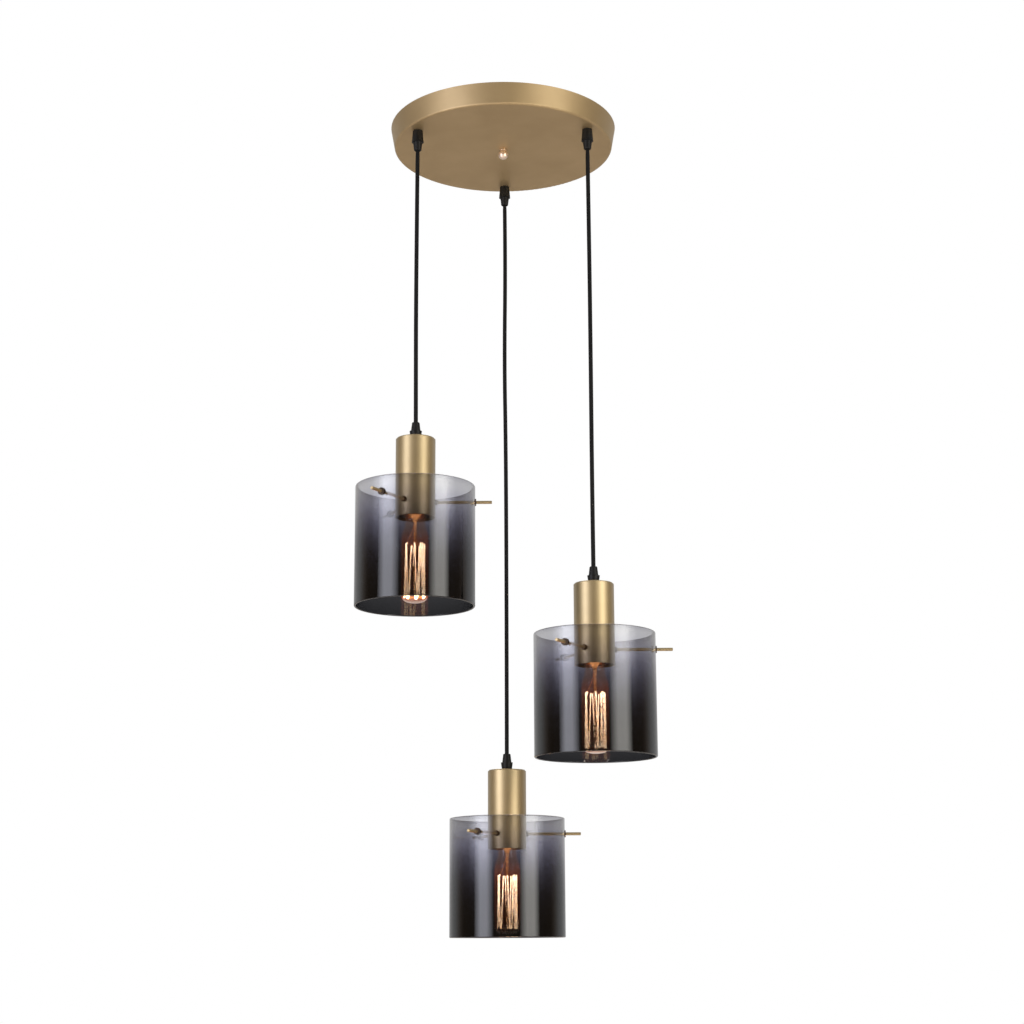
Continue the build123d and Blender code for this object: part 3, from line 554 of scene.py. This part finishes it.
# ---- canopy ------------------------------------------------------------------------------
black_nylon = moulded(
    "moulded nylon", "0C0C0B", "141413", roughness=0.46, grain_mm=0.8, relief=0.08, shine=0.3,
)
# the holder's phenolic is redder than its own brown: partly painted glow, the filament's light on it
phenolic = moulded("moulded phenolic", "2A130C", "40200F", roughness=0.35, grain_mm=0.6, relief=0.08)
rubber = moulded("soft moulded rubber", "3A2C22", "4A382B", roughness=0.55, grain_mm=0.6, relief=0.1)
insulator = moulded("black insulating glass", "0C0C10", "17171D", roughness=0.15, grain_mm=0.9, relief=0.03)
black_leads = moulded("black PVC leads", "121211", "1E1D1C", roughness=0.42, grain_mm=0.8, relief=0.1)
zinc_steel = plain_metal("zinc plated steel", "9A9C9E", "B9BABB", roughness=0.34, grain_mm=0.7)
# the rod nuts are dark brown: partly their bronze, partly painted shade where they meet the cup's wall
bronze_and_painted_shade = plain_metal("dark bronze with painted shade", "54402C", "70563A", roughness=0.36, grain_mm=0.5)
bright_brass = plain_metal("pressed brass", "B08A4C", "CDA766", roughness=0.25, grain_mm=0.6)

origin = Vector((0, 0, 0))
spun_brass = satin_brass(
    "spun satin brass", origin, flat_on=True, roughness=0.56, coat=0.3, dark="BAA278", light="C4AC82",
)
# the ball nut's brass is far paler and pinker than brass: a painted sheen, for the bright highlights it
# catches all over
sheen_paled_brass = satin_brass(
    "turned brass paled by painted sheen", origin, flat_on=False, roughness=0.42, dark="F4DAC4", light="FAE6D2",
)
dress(spun_brass, "canopy")
dress(sheen_paled_brass, "ball_nut")
dress(zinc_steel, "ceiling_bracket", "stud_and_fixings", "canopy_grip_nuts")
dress(black_nylon, "canopy_grips", "terminal_block")
dress(black_leads, "inner_leads")

# ---- lamps ----------------------------------------------------------------------------------
hot_wire = glowing_wire("coiled tungsten", "FFC68C", "FFE9C8", strength=24.0)
# the support wires and leads are no lamp: their glow is painted light, the filament's light on them
painted_glow_wire = glowing_wire("nickel support wire", "C05A20", "E08A44", strength=2.5)
filament_growth = filament_tree(hot_wire)
spider_growth = spider_tree(painted_glow_wire)


def threaded(radius, angle, depth):
    """Rounded screw thread on the cap's outside, fading in and out at its ends."""
    begin = cap_top_drop + thread_start
    share = (depth - begin) / (thread_turns * thread_pitch)
    if radius < cap_d / 2 - cap_wall / 2 or not 0 < share < 1:
        return radius
    fade = min(1.0, thread_fade * share, thread_fade * (1 - share))
    wave = 0.5 - 0.5 * cos(2 * pi * depth / thread_pitch - angle)
    return radius - thread_depth * fade * wave


def cap_section():
    """Cap shell from its crown down the outside and up the inside."""
    rows = ceil(cap_length / cap_row_h)
    wall_top = cap_top_drop + cap_lead_in
    wall_h = cap_length - cap_lead_in
    outer = [(cap_d / 2, wall_top + wall_h * i / rows) for i in range(rows + 1)]
    inner_r = cap_d / 2 - cap_wall - thread_depth
    inner = [(inner_r, cap_top_drop + cap_length), (inner_r, wall_top + cap_inner_step)]
    crown = [(cap_crown_d / 2, cap_top_drop + 2 * cap_wall), (cap_crown_d / 2, cap_top_drop)]
    return [*crown, (cap_d / 2 - cap_lead_in, cap_top_drop), *outer, *inner]


def dress_lamp(lamp, cup_top):
    """Finishes of one lamp's solids."""
    drawn_brass = satin_brass(f"{lamp} drawn satin brass", cup_top, flat_on=False, roughness=0.46)
    shade_glass = smoked_glass(lamp, cup_top.z - shade_drop * MM)
    # the bulb's glass and its stem glow with painted light, the filament's light in them
    clear_glass = lamp_glass(f"{lamp} clear lamp glass", cup_top.z, bulb_painted_glow, glow=0.4, painted_wire_shade=0.35)
    stem_glass = lamp_glass(f"{lamp} lead glass stem", cup_top.z, stem_painted_glow, glow=1.1, painted_wire_shade=0.85)
    dress(drawn_brass, f"{lamp}_cup", f"{lamp}_rods")
    dress(black_nylon, f"{lamp}_cord_grip")
    dress(zinc_steel, f"{lamp}_nipple")
    dress(jacket, f"{lamp}_cord_top", f"{lamp}_cord_end")
    dress(bronze_and_painted_shade, f"{lamp}_rod_nuts")
    dress(rubber, f"{lamp}_glass_grommets")
    dress(phenolic, f"{lamp}_lampholder")
    dress(bright_brass, f"{lamp}_holder_contacts")
    dress(insulator, f"{lamp}_bulb_contact")
    dress(shade_glass, f"{lamp}_glass_shade")
    dress(clear_glass, f"{lamp}_bulb_glass")
    dress(stem_glass, f"{lamp}_bulb_stem")


def fit_cap(lamp, cup_top):
    """Rolled brass cap of one bulb, with its screw thread."""
    cap = turned(f"{lamp}_threaded_cap", cap_section(), cup_top, bright_brass, steps=72, bend=threaded)
    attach(cap, f"{lamp}_bulb")
    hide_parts(f"{lamp}_bulb_cap")


def string_filament(lamp, cup_top):
    """Filament of one bulb, the wires that hold its bends and the leads to its two ends."""
    first = radians(filament_first_angle)
    step = 2 * pi / filament_loops
    upper = cup_top - Vector((0, 0, filament_top_drop * MM))
    lower = upper - Vector((0, 0, filament_height * MM))
    wire = grown(f"{lamp}_glowing_filament", filament_growth, {
        "Loops": filament_loops, "Height": filament_height * MM,
        "Top Radius": filament_top_d / 2 * MM, "Foot Radius": filament_foot_d / 2 * MM,
        "First Angle": first, "Half Hook": radians(filament_hook_half_angle),
        "Coil Radius": filament_coil_d / 2 * MM,
    }, upper, hot_wire)
    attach(wire, f"{lamp}_bulb")
    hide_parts(f"{lamp}_filament")
    inner = stem_rod_d / 2
    for label, centre, ring_d, count, turn in (
        ("upper", upper, filament_top_d, filament_loops, 0.0),
        ("lower", lower, filament_foot_d, filament_loops - 1, 0.5),
    ):
        spider = grown(f"{lamp}_{label}_supports", spider_growth, {
            "Count": count, "Inner Radius": (inner - support_root) * MM,
            "Reach": (ring_d / 2 - inner) * MM, "Wire Radius": support_wire_d / 2 * MM,
            "First Angle": first + turn * step, "Step": step,
        }, centre, painted_glow_wire)
        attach(spider, f"{lamp}_bulb")
    for label, turn in (("first", 0.0), ("last", (filament_loops - 1) * step)):
        out = Vector((cos(first + turn), sin(first + turn), 0))
        pinch = cup_top - Vector((0, 0, pinch_drop * MM)) + out * pinch_half_gap * MM
        hook = upper + out * (filament_top_d / 2) * MM
        sagging = pinch.lerp(hook, lead_bend_share) - Vector((0, 0, lead_sag * MM))
        line = smooth_line([pinch, sagging, hook])
        lead = tube(f"{lamp}_{label}_lead", line, lead_wire_d / 2 * MM, painted_glow_wire, sides=8)
        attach(lead, f"{lamp}_bulb")


for lamp in LAMPS:
    cup_top = middle_of(f"{lamp}_cup")
    dress_lamp(lamp, cup_top)
    fit_cap(lamp, cup_top)
    string_filament(lamp, cup_top)


# ---- floor, light and camera ---------------------------------------------------------------
def seen_directly(tree):
    """1 for a ray from the camera or one that has come through glass, and 0 for any other."""
    rays = add(tree, "ShaderNodeLightPath").outputs
    either = {0: rays["Is Camera Ray"], 1: rays["Is Transmission Ray"]}
    return add(tree, "ShaderNodeMath", either, operation="MAXIMUM")


floor_place = Matrix.Translation((0, 0, floor_z))
floor_mesh = bmesh.new()
bmesh.ops.create_circle(floor_mesh, cap_ends=True, segments=96, radius=floor_radius, matrix=floor_place)
floor_data = bpy.data.meshes.new("floor")
floor_mesh.to_mesh(floor_data)
floor_mesh.free()
paper, tree, out = new_finish("matt white paper")
coords = add(tree, "ShaderNodeTexCoord").outputs["Object"]
fibres = add(tree, "ShaderNodeTexNoise", {"Vector": coords, "Scale": 30.0})
colour = ramp(tree, fibres, [(0.3, linear("F6EBE2")), (0.7, linear("FAF0E8"))])
sheet = add(tree, "ShaderNodeBsdfDiffuse", {0: colour})
lit = add(tree, "ShaderNodeEmission", {0: linear("FFFFFF"), 1: 1.0})
share = add(tree, "ShaderNodeMath", {0: seen_directly(tree), 1: floor_white}, operation="MULTIPLY")
mixed = add(tree, "ShaderNodeMixShader", {0: share, 1: sheet, 2: lit})
tree.links.new(mixed.outputs[0], out.inputs[0])
floor = shown("floor", floor_data, paper)

# the camera sees white, also through glass; all other rays meet a room that is pale behind the
# lamps and overhead, and dim and warm in front
world = bpy.data.worlds.new("studio")
bpy.context.scene.world = world
world.use_nodes = True
tree = world.node_tree
tree.nodes.clear()
out = tree.nodes.new("ShaderNodeOutputWorld")
facing = add(tree, "ShaderNodeTexCoord").outputs["Generated"]
parts = add(tree, "ShaderNodeSeparateXYZ", {0: facing}).outputs
rise = {0: parts[1], 1: 0.05, 2: 0.6}
behind = add(tree, "ShaderNodeMapRange", rise, interpolation_type="SMOOTHSTEP")
rise = {0: parts[2], 1: 0.22, 2: 0.6}
overhead = add(tree, "ShaderNodeMapRange", rise, interpolation_type="SMOOTHSTEP")
pale = add(tree, "ShaderNodeMath", {0: behind, 1: overhead}, operation="MAXIMUM")
tone = ramp(tree, pale, [(0.0, linear("FFE0C4")), (1.0, linear("FFFFFF"))])
level = add(tree, "ShaderNodeMapRange", {0: pale, 3: room_dim, 4: room_bright})
backdrop = add(tree, "ShaderNodeBackground", {0: linear("FFFFFF"), 1: 1.0})
room = add(tree, "ShaderNodeBackground", {0: tone, 1: level})
mixed = add(tree, "ShaderNodeMixShader", {0: seen_directly(tree), 1: room, 2: backdrop})
tree.links.new(mixed.outputs[0], out.inputs[0])


def softbox(name, bearing, half_angle, code, radiance, edges):
    """Upright soft light. bearing is its angle to the right of the camera's side, half_angle is
    half of its width as the lamps see it, and edges are the shares of its width over which its
    cloth fades out at its two sides."""
    width = 2 * softbox_distance * sin(radians(half_angle)) / cos(radians(half_angle))
    tall = softbox_top - softbox_foot
    light = bpy.data.lights.new(name, "AREA")
    light.shape = "RECTANGLE"
    light.size = width
    light.size_y = tall
    light.energy = radiance * pi * width * tall
    light.use_nodes = True
    tree = light.node_tree
    place = add(tree, "ShaderNodeNewGeometry").outputs["Parametric"]
    across = add(tree, "ShaderNodeSeparateXYZ", {0: place}).outputs[0]
    black, colour = linear("000000"), linear(code)
    stops = [(0.0, black), (edges[0], colour), (1 - edges[1], colour), (1.0, black)]
    cloth = ramp(tree, across, stops)
    glow = tree.nodes["Emission"]
    tree.links.new(cloth.outputs[0], glow.inputs[0])
    box = bpy.data.objects.new(name, light)
    bpy.context.scene.collection.objects.link(box)
    turn = radians(bearing)
    mid_height = (softbox_top + softbox_foot) / 2
    box.location = (softbox_distance * sin(turn), -softbox_distance * cos(turn), mid_height)
    box.rotation_euler = (pi / 2, 0, turn)
    box.visible_camera = False


softbox("left_softbox", bearing=-49.0, half_angle=21.5, code="F0F2FF", radiance=4.3, edges=(0.35, 0.35))
softbox("right_softbox", bearing=47.5, half_angle=21.5, code="FFFDF8", radiance=3.9, edges=(0.35, 0.3))

camera_data = bpy.data.cameras.new("camera")
camera_data.sensor_width = sensor_width
camera_data.lens = camera_lens
camera = bpy.data.objects.new("camera", camera_data)
bpy.context.scene.collection.objects.link(camera)
camera.location = camera_place
yaw = Matrix.Rotation(radians(camera_yaw), 3, "Z")
pitch = Matrix.Rotation(radians(90 + camera_pitch), 3, "X")
roll = Matrix.Rotation(radians(camera_roll), 3, "Z")
camera.rotation_euler = (yaw @ pitch @ roll).to_euler()
bpy.context.scene.camera = camera
bpy.context.scene.view_settings.view_transform = "Standard"
